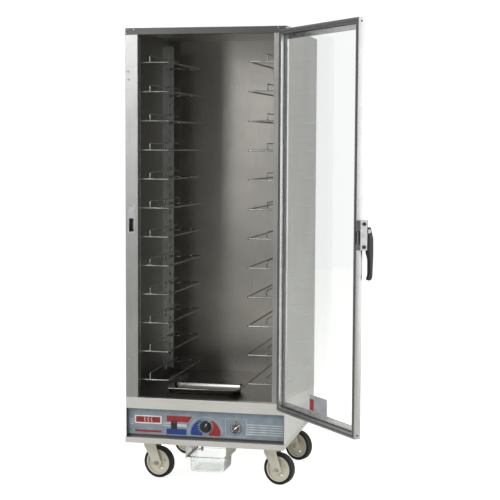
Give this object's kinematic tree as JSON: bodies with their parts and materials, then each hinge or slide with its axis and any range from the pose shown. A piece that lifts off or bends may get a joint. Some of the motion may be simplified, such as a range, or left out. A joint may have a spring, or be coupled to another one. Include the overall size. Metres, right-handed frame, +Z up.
{
  "type": "proofing cabinet",
  "caption": "Tall heated proofing cabinet on swivel casters, with a hinged clear door, wire pan slides, a control module and a water pan.",
  "frame": {"origin": "on the floor, under the centre of the cabinet body", "axes": "+X to the right seen from the front, +Y to the back, +Z up; the door faces -Y"},
  "size_m": [1.0373, 1.1919, 1.797],
  "materials": {
    "aluminium": "brushed",
    "pale_panel": "satin",
    "header_metal": "brushed",
    "stainless": "brushed",
    "chrome_wire": "bright chrome plate",
    "panel_blue": "satin overlay",
    "zinc": "cast, satin",
    "dark_zinc": "cast, dark",
    "black_plastic": "matte",
    "white_plastic": "matte",
    "clear": "clear",
    "seal": "matte",
    "caster_cream": "gloss enamel",
    "hub_cream": "semi-gloss",
    "tyre": "matte",
    "element": "dull"
  },
  "bodies": {
    "cabinet": {"base_frame": "pale_panel", "side_left": "aluminium", "side_right": "aluminium", "back_panel": "aluminium", "top_panel": "aluminium", "header": "header_metal", "front_sill": "pale_panel", "stile_left": "aluminium", "stile_right": "aluminium", "deck": "aluminium", "uprights": "aluminium", "outlet_hood": "stainless", "slides_01": "chrome_wire", "slides_02": "chrome_wire", "slides_03": "chrome_wire", "slides_04": "chrome_wire", "slides_05": "chrome_wire", "slides_06": "chrome_wire", "slides_07": "chrome_wire", "slides_08": "chrome_wire", "slides_09": "chrome_wire", "slides_10": "chrome_wire", "slides_11": "chrome_wire", "slides_12": "chrome_wire", "control_panel": "panel_blue", "switch_bezel": "black_plastic", "gauge_case": "stainless", "thermostat": "zinc", "heater": "element", "power_inlet": "black_plastic", "drip_pan_rails": "pale_panel", "drain_tube": "stainless", "hinges_fixed": "stainless", "strike": "zinc", "caster_plates": "zinc", "fasteners": "zinc"},
    "door": {"door_frame": "aluminium", "door_pane": "clear", "door_gasket": "seal", "hinges_door": "stainless", "latch_body": "zinc"},
    "latch_bolt": {"latch_bolt": "dark_zinc"},
    "latch_handle": {"latch_handle": "black_plastic"},
    "knob": {"knob": "black_plastic"},
    "power_switch": {"switch_rocker": "black_plastic"},
    "gauge_needle": {"gauge_needle": "white_plastic"},
    "drip_pan": {"drip_pan": "clear"},
    "water_pan": {"water_pan": "stainless"},
    "caster_fl": {"fork_fl": "caster_cream"},
    "wheel_fl": {"hub_fl": "hub_cream", "tyre_fl": "tyre"},
    "caster_fr": {"fork_fr": "caster_cream"},
    "wheel_fr": {"hub_fr": "hub_cream", "tyre_fr": "tyre"},
    "caster_rl": {"fork_rl": "caster_cream"},
    "wheel_rl": {"hub_rl": "hub_cream", "tyre_rl": "tyre"},
    "caster_rr": {"fork_rr": "caster_cream"},
    "wheel_rr": {"hub_rr": "hub_cream", "tyre_rr": "tyre"}
  },
  "joints": [
    {"name": "door_swing", "type": "hinge", "parent": "cabinet", "child": "door", "pos_m": [0.3, -0.363, 1.053], "axis": [0, 0, 1], "range_deg": [-129.4, 50.6]},
    {"name": "latch_handle_pull", "type": "hinge", "parent": "door", "child": "latch_handle", "pos_m": [0.69639, -0.80934, 1.052], "axis": [0.6347, -0.7727, 0], "range_deg": [0, 24], "stiffness_Nm_per_rad": 0.6},
    {"name": "latch_bolt_draw", "type": "slide", "parent": "door", "child": "latch_bolt", "axis": [0.7727, 0.6347, 0], "range_m": [0, 0.0095]},
    {"name": "thermostat_turn", "type": "hinge", "parent": "cabinet", "child": "knob", "pos_m": [0, -0.325, 0.236], "axis": [0, -1, 0], "range_deg": [-120, 180]},
    {"name": "switch_rock", "type": "hinge", "parent": "cabinet", "child": "power_switch", "pos_m": [-0.129, -0.316, 0.236], "axis": [1, 0, 0], "range_deg": [-22, 0]},
    {"name": "gauge_needle_turn", "type": "hinge", "parent": "cabinet", "child": "gauge_needle", "pos_m": [0.122, -0.322, 0.236], "axis": [0, -1, 0], "range_deg": [-87, 183]},
    {"name": "drip_pan_slide", "type": "slide", "parent": "cabinet", "child": "drip_pan", "axis": [0, -1, 0], "range_m": [0, 0.17]},
    {"name": "water_pan_slide", "type": "slide", "parent": "cabinet", "child": "water_pan", "axis": [0, -1, 0], "range_m": [0, 0.25]},
    {"name": "swivel_fl", "type": "hinge", "parent": "cabinet", "child": "caster_fl", "pos_m": [-0.2485, -0.221, 0.148], "axis": [0, 0, 1], "continuous": true},
    {"name": "roll_fl", "type": "hinge", "parent": "caster_fl", "child": "wheel_fl", "pos_m": [-0.21622, -0.22786, 0.0635], "axis": [0.2079, 0.9781, 0], "continuous": true},
    {"name": "swivel_fr", "type": "hinge", "parent": "cabinet", "child": "caster_fr", "pos_m": [0.2485, -0.221, 0.148], "axis": [0, 0, 1], "continuous": true},
    {"name": "roll_fr", "type": "hinge", "parent": "caster_fr", "child": "wheel_fr", "pos_m": [0.28022, -0.2301, 0.0635], "axis": [0.2756, 0.9613, 0], "continuous": true},
    {"name": "swivel_rl", "type": "hinge", "parent": "cabinet", "child": "caster_rl", "pos_m": [-0.2485, 0.215, 0.148], "axis": [0, 0, 1], "continuous": true},
    {"name": "roll_rl", "type": "hinge", "parent": "caster_rl", "child": "wheel_rl", "pos_m": [-0.21835, 0.20158, 0.0635], "axis": [0.4067, 0.9135, 0], "continuous": true},
    {"name": "swivel_rr", "type": "hinge", "parent": "cabinet", "child": "caster_rr", "pos_m": [0.2485, 0.215, 0.148], "axis": [0, 0, 1], "continuous": true},
    {"name": "roll_rr", "type": "hinge", "parent": "caster_rr", "child": "wheel_rr", "pos_m": [0.27816, 0.20053, 0.0635], "axis": [0.4384, 0.8988, 0], "continuous": true}
  ],
  "couplings": [
    {"joint": "latch_bolt_draw", "follows": "latch_handle_pull", "m_per_rad": 0.021008}
  ]
}
